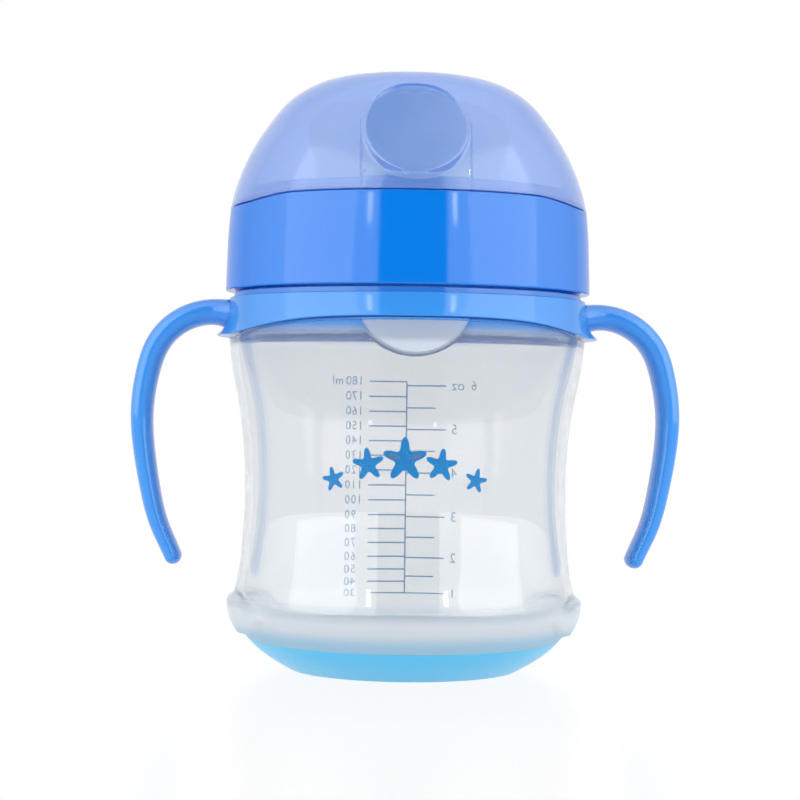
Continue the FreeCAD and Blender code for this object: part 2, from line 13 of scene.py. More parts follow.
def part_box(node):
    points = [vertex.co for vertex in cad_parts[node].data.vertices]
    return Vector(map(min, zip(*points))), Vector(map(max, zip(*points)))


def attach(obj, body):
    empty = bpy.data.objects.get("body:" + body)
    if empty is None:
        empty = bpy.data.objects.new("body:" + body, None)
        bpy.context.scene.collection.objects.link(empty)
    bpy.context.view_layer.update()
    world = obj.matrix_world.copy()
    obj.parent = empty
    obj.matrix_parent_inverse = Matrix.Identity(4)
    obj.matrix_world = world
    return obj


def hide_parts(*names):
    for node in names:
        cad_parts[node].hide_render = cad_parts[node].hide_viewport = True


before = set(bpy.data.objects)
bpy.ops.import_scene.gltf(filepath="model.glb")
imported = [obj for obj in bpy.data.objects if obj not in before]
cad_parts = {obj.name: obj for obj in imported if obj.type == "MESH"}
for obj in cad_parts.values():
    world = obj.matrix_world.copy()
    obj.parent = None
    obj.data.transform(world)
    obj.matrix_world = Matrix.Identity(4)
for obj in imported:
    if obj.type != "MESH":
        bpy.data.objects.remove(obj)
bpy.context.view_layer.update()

MM = 0.001


def top_of(node):
    """Highest z of a CAD node."""
    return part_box(node)[1].z / MM


def bottom_of(node):
    """Lowest z of a CAD node."""
    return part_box(node)[0].z / MM


def reach_of(node):
    """Largest x of a CAD node."""
    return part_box(node)[1].x / MM


# ---------------------------------------------------------------- sizes, in millimetres
GAP = 0.3                           # room between two pieces that slide or turn
SEAT_H, SKIRT_H = 9.2, 3.6
RIM_Z = top_of("cup_body")
SEAT_TOP_Z = top_of("handle_ring")
SOLE_TOP_Z = top_of("base_sole")
SHOULDER_Z = SEAT_TOP_Z - SEAT_H
COLLAR_LOW_Z, UPSTAND_TOP_Z = bottom_of("collar"), top_of("collar")
CROWN_Z = top_of("travel_cap")
COLLAR_R = reach_of("collar")
COLLAR_WALL, COLLAR_TAPER, CAP_LAND_W = 3.2, 0.75, 3.75
COLLAR_BORE_R, COLLAR_TOP_R = COLLAR_R - COLLAR_WALL, COLLAR_R - COLLAR_TAPER
TOOTH_H, TOOTH_BASE, TOOTH_CREST, PITCH = 1.3, 2.0, 1.1, 4.0
NECK_R, NECK_WALL = COLLAR_BORE_R - TOOTH_H - GAP, 1.7
MOUTH_R = NECK_R - NECK_WALL
SEAT_R = NECK_R + 1.7
SHOULDER_R = SEAT_R + 2.25
WAIST_R, WAIST_Z = SHOULDER_R - 3.55, 37.0
HEEL_R, HEEL_Z = SHOULDER_R - 1.4, 13.0
FOOT_R, FOOT_W = HEEL_R - 11.65, 2.7
WALL = 1.6
SOLE_T, SOLE_RECESS, FLOOR_UNDER_Z = 1.5, 0.8, 2.5
PAD_PROUD, PAD_HALF_W, PAD_HALF_H, PAD_Z = 1.3, 19.5, 4.4, HEEL_Z - 1.6
THREAD_Z = SEAT_TOP_Z + 2.8
THREAD_RUN = RIM_Z - THREAD_Z - PITCH / 2 - TOOTH_BASE / 2
TAB_R, TAB_Z, TAB_FACE_R = 11.07, SHOULDER_Z + 7.2, SHOULDER_R + 0.95
TAB_EDGE = 0.45
RING_BORE_R, RING_LOW_Z, RING_TOP_Z = SEAT_R + GAP, SHOULDER_Z + GAP, SEAT_TOP_Z - 1.1
RING_TOP_R, RING_FLARE, RING_LAND_W = RING_BORE_R + 2.0, 2.5, 1.1
RING_ARCH, ARCH_IN = 3.2, 0.8
HANDLE_DEPTH, HANDLE_STAND, HANDLE_CURL, HANDLE_DROP = 9.6, 17.5, 7.3, 51.2
HANDLE_T_ROOT, HANDLE_T_TIP = 5.2, 3.4
UPSTAND_R, UPSTAND_T = COLLAR_TOP_R - CAP_LAND_W, 1.7
LAND_Z = UPSTAND_TOP_Z - 2.6
DECK_LOW_Z, DECK_Z, DECK_HOLE_R = RIM_Z + 2.3, RIM_Z + 4.15, COLLAR_BORE_R - 10.6
DIP_W, DIP = 13.35, 1.2
DIP_HALF_W = COLLAR_TOP_R - DIP_W
CAP_WALL, CAP_BROW_R, CAP_BROW_DROP = 2.0, COLLAR_TOP_R - 13.75, 3.6
THUMB_W, THUMB_L, THUMB_T = 20.6, 23.4, 2.2
THUMB_TOP_DROP, THUMB_LIP_R, THUMB_LIP_RISE = 4.1, COLLAR_TOP_R + 0.65, 3.1
FLANGE_Z, FLANGE_T = bottom_of("soft_spout") + SKIRT_H, 2.0
SPOUT_T = 1.8
CROWN_FLAT_Z = 118.0                # above it the dome is too level to be cut by height
POCKET_TOP_Z, POCKET_FRONT_Y = 108.5, -33.8
PRINT_TURN = math.radians(-2.6)     # both prints sit a little off the moulding's centre line
INK_T, INK_LIFT = 0.03, 0.01        # film, and its clearance from the wall
MARK_ML = [30, 60, 90, 120, 150, 180]
MARK_Z = [11.9, 20.4, 29.6, 39.4, 49.1, 58.8]
OUNCE_ML = 29.57


# ---------------------------------------------------------------- lines
def smooth_line(points, count):
    """Natural cubic spline whose parameter is the running chord length, sampled evenly."""
    p = np.array(points, float)
    t = np.concatenate([[0.0], np.cumsum(np.linalg.norm(np.diff(p, axis=0), axis=1))])
    h = np.diff(t)
    n = len(t)
    bend, pull = np.eye(n), np.zeros_like(p)
    i = np.arange(1, n - 1)
    bend[i, i - 1], bend[i, i], bend[i, i + 1] = h[:-1], 2 * (h[:-1] + h[1:]), h[1:]
    slope = np.diff(p, axis=0) / h[:, None]
    pull[i] = 6 * np.diff(slope, axis=0)
    m = np.linalg.solve(bend, pull)
    s = np.linspace(0, t[-1], count)
    k = np.clip(np.searchsorted(t, s, side="right") - 1, 0, n - 2)
    u, g = (s - t[k])[:, None], h[k][:, None]
    return (m[k] * (g - u) ** 3 / (6 * g) + m[k + 1] * u ** 3 / (6 * g)
            + (p[k] / g - m[k] * g / 6) * (g - u) + (p[k + 1] / g - m[k + 1] * g / 6) * u)


def offset_line(line, distance):
    """Line moved to the left of its own direction by distance, a number or one per point."""
    along = np.gradient(line, axis=0)
    along /= np.linalg.norm(along, axis=1)[:, None]
    return line + np.stack([-along[:, 1], along[:, 0]], 1) * np.reshape(distance, (-1, 1))


def rounded(points, steps=5):
    """Polyline whose (r, z, radius) corners are circle arcs, with a support point beside each."""
    p = np.array([q[:2] for q in points], float)
    out = [p[:1]]
    for i in range(1, len(p) - 1):
        radius = points[i][2] if len(points[i]) > 2 else 0.0
        to, away = p[i - 1] - p[i], p[i + 1] - p[i]
        len_to, len_away = np.linalg.norm(to), np.linalg.norm(away)
        to, away = to / len_to, away / len_away
        half = 0.5 * math.acos(np.clip(to @ away, -1, 1))
        if radius <= 0 or half > 1.55:
            out.append(p[i:i + 1])
            continue
        back = min(radius / math.tan(half), 0.45 * len_to, 0.45 * len_away)
        middle = p[i] + (to + away) / np.linalg.norm(to + away) * back / math.cos(half)
        a, b = p[i] + to * back, p[i] + away * back
        f = np.linspace(0, 1, steps)[:, None]
        arc = (a - middle) * (1 - f) + (b - middle) * f
        arc *= np.linalg.norm(a - middle) / np.linalg.norm(arc, axis=1)[:, None]
        support = 0.3 * back
        out += [a[None] + to * support, middle + arc, b[None] + away * support]
    out.append(p[-1:])
    return np.concatenate(out)


def smoothstep(x):
    """Nothing up to 0, one from 1 on, and level at both ends of the rise between."""
    x = np.clip(x, 0, 1)
    return x * x * (3 - 2 * x)


# ---------------------------------------------------------------- outlines and shared edges
def cup_wall_line():
    """Outside of the cup from the foot ring to the shoulder, as (radius, height)."""
    bowl, waist, flare = HEEL_R - FOOT_R, HEEL_R - WAIST_R, SHOULDER_R - WAIST_R
    low, high = WAIST_Z - HEEL_Z, SHOULDER_Z - WAIST_Z
    return smooth_line([
        (FOOT_R, 0.0), (FOOT_R + 0.31 * bowl, 0.16 * HEEL_Z),
        (FOOT_R + 0.585 * bowl, 0.34 * HEEL_Z), (FOOT_R + 0.78 * bowl, 0.525 * HEEL_Z),
        (FOOT_R + 0.935 * bowl, 0.76 * HEEL_Z), (HEEL_R, HEEL_Z),
        (HEEL_R - 0.33 * waist, HEEL_Z + 0.20 * low), (HEEL_R - 0.81 * waist, HEEL_Z + 0.54 * low),
        (WAIST_R, WAIST_Z), (WAIST_R + 0.12 * flare, WAIST_Z + 0.29 * high),
        (WAIST_R + 0.44 * flare, WAIST_Z + 0.58 * high),
        (WAIST_R + 0.83 * flare, WAIST_Z + 0.82 * high), (SHOULDER_R, SHOULDER_Z)], 600)


WALL_LINE = cup_wall_line()


def wall_r(z):
    """Outside radius of the cup at a height."""
    return np.interp(z, WALL_LINE[:, 1], WALL_LINE[:, 0])


def cut_line(line, low, high, count):
    """The stretch of a rising line between two heights."""
    z = np.linspace(low, high, count)
    return np.stack([np.interp(z, line[:, 1], line[:, 0]), z], 1)


REBATE_LINE = offset_line(WALL_LINE, SOLE_T)


def arch_z(x):
    """Lower edge of the handle ring: a flat fourth-power arch over the front and the back."""
    half = RING_TOP_R - ARCH_IN
    return RING_LOW_Z + RING_ARCH * (1 - np.clip(np.abs(x) / half, 0, 1) ** 4)


def seam_drop(x):
    """How far the seam between collar and cap drops at a distance x from the middle."""
    return -DIP * smoothstep((np.abs(x) - DIP_HALF_W) / (0.85 * DIP_W))


def cap_line():
    """Outside of the dome from below its rim to the crown, level where it meets the axis."""
    brow_z, low_z = CROWN_Z - CAP_BROW_DROP, LAND_Z - DIP
    rise, pull = brow_z - low_z, COLLAR_TOP_R - CAP_BROW_R
    side = [(COLLAR_TOP_R - a * pull, low_z + b * rise) for a, b in
            ((0, 0), (0.05, 0.13), (0.17, 0.335), (0.33, 0.53), (0.56, 0.735), (0.79, 0.90))]
    crown = [(CAP_BROW_R, brow_z), (0.76 * CAP_BROW_R, CROWN_Z - 0.30 * CAP_BROW_DROP),
             (0.40 * CAP_BROW_R, CROWN_Z - 0.04 * CAP_BROW_DROP)]
    far = [(-r, z) for r, z in reversed(crown)]
    line = smooth_line(side + crown + [(0, CROWN_Z)] + far, 500)
    return np.concatenate([line[line[:, 0] > 0.4], [[0.0, CROWN_Z]]])


# ---------------------------------------------------------------- meshes
def grid_faces(rows, columns, close_rows, close_columns):
    """Quads of a grid numbered row by row; a closed direction joins its last line to its first."""
    i = np.arange(rows if close_rows else rows - 1)
    j = np.arange(columns if close_columns else columns - 1)
    a, b = np.meshgrid(i, j, indexing="ij")
    c, d = (a + 1) % rows, (b + 1) % columns
    corners = [a * columns + b, a * columns + d, c * columns + d, c * columns + b]
    return np.stack(corners, -1).reshape(-1, 4)


def outward(vertices, faces):
    """The faces turned so that the closed surface has a positive volume."""
    volume = 0.0
    for f in faces:
        for k in range(1, f.shape[1] - 1):
            a, b, c = vertices[f[:, 0]], vertices[f[:, k]], vertices[f[:, k + 1]]
            volume += np.einsum("ij,ij->i", a, np.cross(b, c)).sum()
    return faces if volume > 0 else [f[:, ::-1] for f in faces]


def closed_grid(grid, close_rows=False):
    """Closed surface of a (rows, columns, 3) grid. Columns always close; open rows end in poles."""
    rows, columns = grid.shape[:2]
    vertices = grid.reshape(-1, 3)
    faces = [grid_faces(rows, columns, close_rows, True)]
    if not close_rows:
        poles = np.stack([grid[0].mean(0), grid[-1].mean(0)])
        vertices = np.concatenate([vertices, poles])
        j = np.arange(columns)
        k = (j + 1) % columns
        first, last = rows * columns, rows * columns + 1
        base = (rows - 1) * columns
        faces.append(np.stack([k, j, np.full(columns, first)], 1))
        faces.append(np.stack([base + j, base + k, np.full(columns, last)], 1))
    return vertices, outward(vertices, faces)


def make_piece(name, parts, material, body, slot, *nodes, smooth=True):
    """One object from closed parts in millimetres, riding on a body in place of CAD nodes."""
    vertices, faces, start = [], [], 0
    for part_vertices, part_faces in parts:
        vertices.append(part_vertices)
        faces += [f + start for f in part_faces]
        start += len(part_vertices)
    mesh = bpy.data.meshes.new(name)
    mesh.vertices.add(start)
    mesh.vertices.foreach_set("co", (np.concatenate(vertices) * MM).ravel())
    sizes = np.concatenate([np.full(len(f), f.shape[1]) for f in faces])
    mesh.loops.add(int(sizes.sum()))
    mesh.loops.foreach_set("vertex_index", np.concatenate([f.ravel() for f in faces]))
    mesh.polygons.add(len(sizes))
    mesh.polygons.foreach_set("loop_start", np.concatenate([[0], np.cumsum(sizes)[:-1]]))
    mesh.polygons.foreach_set("use_smooth", np.full(len(sizes), smooth))
    mesh.update(calc_edges=True)
    mesh.validate()
    mesh.materials.append(material)
    piece = bpy.data.objects.new(name, mesh)
    bpy.context.scene.collection.objects.link(piece)
    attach(piece, body)
    if nodes:
        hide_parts(*nodes)
    return piece


def turn(radius, height, azimuth):
    """Points at a radius, height and azimuth, arrays of one shape."""
    return np.stack([radius * np.sin(azimuth), -radius * np.cos(azimuth), height], -1)


def azimuths(*fine):
    """Azimuths all round, 3 degrees apart, and closer inside each (middle, half width, step)."""
    marks = [np.arange(0, 360, 3.0)]
    for middle, half, step in fine:
        marks[0] = marks[0][np.abs((marks[0] - middle + 180) % 360 - 180) > half]
        marks.append(np.arange(middle - half, middle + half + step / 2, step) % 360)
    return np.radians(np.unique(np.round(np.concatenate(marks), 4)))


def lathe(line, azimuth):
    """(rows, columns) arrays of radius, height and azimuth for a line turned about the axis."""
    r = np.repeat(line[:, :1], len(azimuth), 1)
    z = np.repeat(line[:, 1:2], len(azimuth), 1)
    return r, z, np.repeat(azimuth[None], len(line), 0)


# ---------------------------------------------------------------- node helper and materials
def add(tree, kind, inputs=(), **settings):
    """Adds a node. inputs holds (socket name or number, value or output socket) pairs."""
    made = tree.nodes.new(kind)
    for key, value in settings.items():
        setattr(made, key, value)
    for socket, value in inputs:
        if isinstance(value, bpy.types.NodeSocket):
            tree.links.new(value, made.inputs[socket])
        else:
            made.inputs[socket].default_value = value
    return made


def linear(code, alpha=1.0):
    """Linear colour of an sRGB hex value."""
    channel = [int(code[i:i + 2], 16) / 255 for i in (0, 2, 4)]
    return tuple(c / 12.92 if c <= 0.04045 else ((c + 0.055) / 1.055) ** 2.4
                 for c in channel) + (alpha,)


def new_material(name):
    """An empty node material and its tree."""
    material = bpy.data.materials.new(name)
    material.use_nodes = True
    material.node_tree.nodes.clear()
    return material, material.node_tree


def per_metre(size_mm):
    """Noise scale that makes features about size_mm across on object coordinates in metres."""
    return 1.0 / (size_mm * MM)


def ripple(tree, size_mm, height_mm, detail=1.0):
    """Bump of soft noise: size_mm across and height_mm deep, on object coordinates."""
    place = add(tree, "ShaderNodeTexCoord").outputs["Object"]
    noise = add(tree, "ShaderNodeTexNoise", [("Vector", place), ("Scale", per_metre(size_mm)),
                                             ("Detail", detail), ("Roughness", 0.5)])
    bump = add(tree, "ShaderNodeBump", [("Strength", 1.0), ("Distance", height_mm * MM),
                                        ("Height", noise.outputs["Fac"])])
    return noise.outputs["Fac"], bump.outputs["Normal"]


def spread(tree, value, low, high):
    """Noise value brought between low and high."""
    return add(tree, "ShaderNodeMapRange", [
        ("Value", value), ("From Min", 0.35), ("From Max", 0.65), ("To Min", low),
        ("To Max", high)]).outputs["Result"]


def distance_share(tree, along, start_mm, end_mm, most=1.0):
    """A share that grows smoothly from nothing at one place on an axis to most at another."""
    return add(tree, "ShaderNodeMapRange", [
        ("Value", along), ("From Min", start_mm * MM), ("From Max", end_mm * MM),
        ("To Max", most)], interpolation_type="SMOOTHSTEP").outputs["Result"]


def finish_material(tree, shader, volume=None):
    """Joins the shader, and the inside of a clear piece, to the output."""
    sockets = [("Surface", shader)] + ([("Volume", volume)] if volume else [])
    add(tree, "ShaderNodeOutputMaterial", sockets)


def clear_polypropylene():
    """Injection-moulded clear PP: polished, faintly hazy and grey in depth, with flow ripples.

    Low down, where the wall grows thick, extra near-white haze on the front and sides (not behind
    the scale) is painted light that brightens the heel; at the very bottom a light blue haze is
    painted light from the sole; just under the handle ring a blue haze is the ring's painted
    reflection spreading in the shoulder. The half-round key pad on the front is etched in the
    mould, so it scatters light.
    """
    material, tree = new_material("clear_polypropylene_polished")
    noise, normal = ripple(tree, 14.0, 0.010)
    clear = add(tree, "ShaderNodeBsdfPrincipled", [
        ("Base Color", linear("FFFFFF")), ("Transmission Weight", 1.0), ("IOR", 1.49),
        ("Roughness", spread(tree, noise, 0.004, 0.010)), ("Normal", normal)])
    etched = add(tree, "ShaderNodeBsdfPrincipled", [
        ("Base Color", linear("E8F2FC")), ("Transmission Weight", 0.7), ("IOR", 1.49),
        ("Roughness", 0.45), ("Normal", normal)])
    place = add(tree, "ShaderNodeSeparateXYZ", [
        (0, add(tree, "ShaderNodeTexCoord").outputs["Object"])]).outputs
    unprinted = distance_share(tree, place["Y"], 24.0, 8.0)
    # painted light: extra near-white haze low on the front and sides brightens the heel
    low = distance_share(tree, place["Z"], 16.0, 11.5, unprinted)
    # painted light: light blue haze at the very bottom stands in for light coming through the sole
    painted_sole_light_zone = distance_share(tree, place["Z"], 10.5, 7.5)
    # painted reflection: blue haze under the handle ring stands in for the ring's blue seen in the
    # shoulder
    high = distance_share(tree, place["Z"], 66.5, 69.5)
    haze_and_painted_light_tint = linear("E2ECF3")
    # the grey-white base haze is the plastic's own; the three zone colours are painted light
    for share, code in ((low, "FAFCFE"), (painted_sole_light_zone, "C2E6FA"), (high, "62B4FF")):
        haze_and_painted_light_tint = add(tree, "ShaderNodeMix", [("Factor", share), ("A", haze_and_painted_light_tint), ("B", linear(code))],
                   data_type="RGBA").outputs["Result"]
    back = add(tree, "ShaderNodeBsdfDiffuse", [("Color", haze_and_painted_light_tint)])
    through = add(tree, "ShaderNodeBsdfTranslucent", [("Color", haze_and_painted_light_tint)])
    haze = add(tree, "ShaderNodeMixShader", [("Fac", 0.5), (1, back.outputs["BSDF"]),
                                             (2, through.outputs["BSDF"])])
    amount = 0.13       # share of haze all over, to which each zone adds its own
    # painted light: each zone adds its own share of painted haze
    for share, more in ((low, 0.55), (painted_sole_light_zone, 0.05), (high, 0.62)):
        amount = add(tree, "ShaderNodeMath", [(0, share), (1, more), (2, amount)],
                     operation="MULTIPLY_ADD").outputs["Value"]
    hazy = add(tree, "ShaderNodeMixShader", [("Fac", amount), (1, clear.outputs["BSDF"]),
                                             (2, haze.outputs["Shader"])])
    frost = add(tree, "ShaderNodeAttribute", attribute_name="frost").outputs["Fac"]
    both = add(tree, "ShaderNodeMixShader", [("Fac", frost), (1, hazy.outputs["Shader"]),
                                             (2, etched.outputs["BSDF"])])
    depth = add(tree, "ShaderNodeVolumeAbsorption", [("Color", linear("DCE6EE")),
                                                     ("Density", 40.0)])
    finish_material(tree, both.outputs["Shader"], depth.outputs["Volume"])
    return material


def tinted_polypropylene():
    """Blue-tinted translucent PP: hazy, glossy outside, deeper blue where light goes far in it."""
    material, tree = new_material("blue_tinted_polypropylene")
    noise, normal = ripple(tree, 9.0, 0.006)
    clear = add(tree, "ShaderNodeBsdfPrincipled", [
        ("Base Color", linear("FFFFFF")), ("Transmission Weight", 1.0), ("IOR", 1.49),
        ("Roughness", spread(tree, noise, 0.10, 0.15)), ("Normal", normal)])
    milky = add(tree, "ShaderNodeBsdfPrincipled", [
        ("Base Color", linear("92C0FF")), ("IOR", 1.49),
        ("Roughness", spread(tree, noise, 0.10, 0.15)), ("Normal", normal)])
    both = add(tree, "ShaderNodeMixShader", [("Fac", 0.30), (1, clear.outputs["BSDF"]),
                                             (2, milky.outputs["BSDF"])])
    depth = add(tree, "ShaderNodeVolumeAbsorption", [("Color", linear("2CA0FF")),
                                                     ("Density", 150.0)])
    finish_material(tree, both.outputs["Shader"], depth.outputs["Volume"])
    return material


def blue_polypropylene(name, code, glow_code):
    """Injection-moulded coloured PP: glossy, with a faint orange peel; some light comes through."""
    material, tree = new_material(name)
    noise, normal = ripple(tree, 6.0, 0.004, 2.0)
    solid = add(tree, "ShaderNodeBsdfPrincipled", [
        ("Base Color", linear(code)), ("IOR", 1.50),
        ("Roughness", spread(tree, noise, 0.07, 0.11)), ("Normal", normal)])
    glow = add(tree, "ShaderNodeBsdfTranslucent", [("Color", linear(glow_code))])
    both = add(tree, "ShaderNodeMixShader", [("Fac", 0.25), (1, solid.outputs["BSDF"]),
                                             (2, glow.outputs["BSDF"])])
    finish_material(tree, both.outputs["Shader"])
    return material


def soft_elastomer():
    """Translucent soft elastomer moulded on: sky blue, satin, light scatters inside it.

    Where it is bonded to the clear floor its face is painted paler: painted light standing in for
    the light that reaches it through both.
    """
    material, tree = new_material("sky_blue_elastomer")
    noise, normal = ripple(tree, 1.2, 0.004, 3.0)
    bonded = add(tree, "ShaderNodeAttribute", attribute_name="bonded").outputs["Fac"]
    # painted light: the bonded face gets a paler colour
    colour = add(tree, "ShaderNodeMix", [("Factor", bonded), ("A", linear("50B6E2")),
                                         ("B", linear("BEE6FA"))], data_type="RGBA")
    shader = add(tree, "ShaderNodeBsdfPrincipled", [
        ("Base Color", colour.outputs["Result"]), ("IOR", 1.45),
        ("Roughness", spread(tree, noise, 0.28, 0.36)), ("Normal", normal),
        ("Subsurface Weight", 0.4), ("Subsurface Radius", (0.5, 1.2, 1.6)),
        ("Subsurface Scale", 1.0 * MM)])
    finish_material(tree, shader.outputs["BSDF"])
    return material


def milky_silicone():
    """Injection-moulded liquid silicone rubber: milky, satin, scatters light through its wall."""
    material, tree = new_material("milky_silicone")
    noise, normal = ripple(tree, 0.9, 0.003, 3.0)
    shader = add(tree, "ShaderNodeBsdfPrincipled", [
        ("Base Color", linear("F0F4F7")), ("IOR", 1.41), ("Transmission Weight", 0.35),
        ("Roughness", spread(tree, noise, 0.30, 0.40)), ("Normal", normal),
        ("Subsurface Weight", 0.5), ("Subsurface Radius", (1.0, 1.0, 1.0)),
        ("Subsurface Scale", 2.0 * MM)])
    finish_material(tree, shader.outputs["BSDF"])
    return material


def screen_ink(name, code, thin_code, glow):
    """Screen-printed ink: satin, with a slightly uneven film, paler where the film is thin.

    glow is the share of the light from behind that comes through the film.
    """
    material, tree = new_material(name)
    noise, normal = ripple(tree, 0.35, 0.002, 2.0)
    film = add(tree, "ShaderNodeMix", [("Factor", spread(tree, noise, 0.0, 1.0)),
                                       ("A", linear(code)), ("B", linear(thin_code))],
               data_type="RGBA")
    shader = add(tree, "ShaderNodeBsdfPrincipled", [
        ("Base Color", film.outputs["Result"]), ("Roughness", 0.35), ("Normal", normal)])
    through = add(tree, "ShaderNodeBsdfTranslucent", [("Color", film.outputs["Result"])])
    both = add(tree, "ShaderNodeMixShader", [("Fac", glow), (1, shader.outputs["BSDF"]),
                                             (2, through.outputs["BSDF"])])
    finish_material(tree, both.outputs["Shader"])
    return material


CLEAR = clear_polypropylene()
TINTED = tinted_polypropylene()
COLLAR_BLUE = blue_polypropylene("blue_polypropylene_collar", "0682EA", "5A9CF0")
HANDLE_BLUE = blue_polypropylene("blue_polypropylene_handles", "409CF0", "8CB8F6")
SOLE_BLUE = soft_elastomer()
SILICONE = milky_silicone()
SCALE_INK = screen_ink("screen_ink_scale", "6CB4E4", "98D0F0", 0.6)
MOTIF_INK = screen_ink("screen_ink_motif", "0A84CC", "1C96DA", 0.35)


# ---------------------------------------------------------------- cup and sole
def oval_edge(x, y, half_x, half_y):
    """Distance inwards from the edge of an oval, about right near the edge."""
    share = np.sqrt((x / half_x) ** 2 + (y / half_y) ** 2) + 1e-9
    return (1 - share) * np.hypot(x, y) / share


def cup_shell():
    """The clear cup: underside, rebate for the sole, wall, neck, inside and floor in one skin.

    On the wall's outside a point of azimuth a and height z stands at the wall's own radius, plus
    the grip pads' and key pad's smooth steps; near the shoulder its height follows the arch.
    """
    low, seat = 60.5, SHOULDER_Z + RING_ARCH     # between them the rows bend into the arch
    around = azimuths((0, 21, 0.6), (90, 69, 1.2), (270, 69, 1.2), (180, 21, 1.2))
    rebate = cut_line(REBATE_LINE, FLOOR_UNDER_Z, SOLE_TOP_Z, 9)
    under = np.concatenate([[[6.0, FLOOR_UNDER_Z], [14.0, FLOOR_UNDER_Z], [21.0, FLOOR_UNDER_Z]],
                            rebate])
    heights = np.concatenate([np.linspace(SOLE_TOP_Z, 17.5, 34), np.linspace(18.5, 59.5, 36),
                              np.linspace(low, seat - 0.4, 44)])
    wall = np.stack([wall_r(heights), heights], 1)
    shoulder = rounded([(SHOULDER_R, seat - 0.8), (SHOULDER_R, seat, 0.35),
                        (SEAT_R + 0.02, seat)])[1:]
    neck = rounded([(SEAT_R, seat + 0.02), (SEAT_R, SEAT_TOP_Z, 0.3), (NECK_R, SEAT_TOP_Z, 0.3),
                    (NECK_R, RIM_Z, 0.35), (MOUTH_R, RIM_Z, 0.35), (MOUTH_R, SHOULDER_Z + 6.4)])
    spare = WALL + SOLE_T * smoothstep((HEEL_Z - WALL_LINE[:, 1]) / (HEEL_Z - SOLE_TOP_Z))
    inner = offset_line(WALL_LINE, spare)
    inner = inner[(WALL_LINE[:, 1] > 1.2) & (WALL_LINE[:, 1] < SHOULDER_Z - 0.8)][::-1]
    narrowing = inner[0, 0] - MOUTH_R
    throat = smooth_line([(MOUTH_R, SHOULDER_Z + 6.2),
                          (MOUTH_R + 0.1 * narrowing, SHOULDER_Z + 4.9),
                          (MOUTH_R + 0.4 * narrowing, SHOULDER_Z + 3.2),
                          (MOUTH_R + 0.825 * narrowing, SHOULDER_Z + 1.2), inner[0]], 20)[:-1]
    bottom_r, bottom_z = inner[-1]
    bottom = np.stack([bottom_r * np.array([0.93, 0.8, 0.6, 0.4, 0.2]),
                       bottom_z + np.array([-0.12, -0.1, 0.0, 0.08, 0.12])], 1)
    inner = inner[::6]
    line = np.concatenate([under, wall, shoulder, neck, throat, inner, bottom])
    r, z, a = lathe(line, around)
    first = len(under)
    on_wall = slice(first, first + len(wall))
    on_edge = slice(first + len(wall), first + len(wall) + len(shoulder))
    arch = arch_z(SHOULDER_R * np.sin(around)) - GAP
    high = z[on_wall] > low
    z[on_wall] += high * (z[on_wall] - low) / (seat - low) * (arch - seat)
    z[on_edge] += arch_z(r[on_edge] * np.sin(a[on_edge])) - GAP - seat
    r[on_wall] = np.where(z[on_wall] < SHOULDER_Z, wall_r(z[on_wall]), SHOULDER_R)
    inside = slice(len(line) - len(bottom) - len(inner), len(line) - len(bottom))
    for rows, height in ((on_wall, PAD_PROUD), (inside, 0.7 * PAD_PROUD)):
        across, up = r[rows] * np.cos(a[rows]), z[rows] - PAD_Z
        edge = oval_edge(across, up, PAD_HALF_W, PAD_HALF_H)
        side = np.abs(np.sin(a[rows])) > 0.5
        soft = np.where(up > 0, 2.2, 0.7)
        r[rows] += height * side * smoothstep(edge / soft)
    sideways = SHOULDER_R * np.sin(a[on_wall])
    depth = TAB_R - np.hypot(sideways, z[on_wall] - TAB_Z)
    front = np.cos(a[on_wall]) > 0
    pad = front * smoothstep(depth / TAB_EDGE)
    r[on_wall] += pad * (TAB_FACE_R - r[on_wall])
    depth = TAB_R - np.hypot(SHOULDER_R * np.sin(a[on_edge]), z[on_edge] - TAB_Z)
    pad_edge = (np.cos(a[on_edge]) > 0) * smoothstep(depth / TAB_EDGE)
    r[on_edge] += pad_edge * (TAB_FACE_R - SHOULDER_R) * smoothstep((r[on_edge] - SEAT_R) / 1.5)
    shell, ridge = closed_grid(turn(r, z, a)), thread(NECK_R, 1, THREAD_Z)
    piece = make_piece("cup_shell", [shell, ridge], CLEAR, "cup", "clear_body", "cup_body")
    frost = np.zeros(len(piece.data.vertices), np.float32)
    frost[on_wall.start * r.shape[1]:on_wall.stop * r.shape[1]] = pad.ravel()
    piece.data.attributes.new("frost", "FLOAT", "POINT").data.foreach_set("value", frost)
    return piece


def thread(root_r, outwards, start_z):
    """Trapezoid ridge wound round the axis; its height fades in and out over 25 degrees."""
    turns = np.linspace(0, THREAD_RUN / PITCH * 2 * np.pi, 150)
    fade = smoothstep(np.minimum(turns, turns[-1] - turns) / math.radians(25))[:, None]
    r = np.array([-0.2, TOOTH_H, TOOTH_H, -0.2]) * outwards
    z = np.array([-TOOTH_BASE, -TOOTH_CREST, TOOTH_CREST, TOOTH_BASE]) / 2
    r = root_r + np.where(r * outwards > 0, r * fade, r + 0 * fade)
    z = start_z + z * (0.3 + 0.7 * fade) + (PITCH * turns / (2 * np.pi))[:, None]
    return closed_grid(turn(r, z, np.pi / 2 + turns[:, None] + 0 * r))


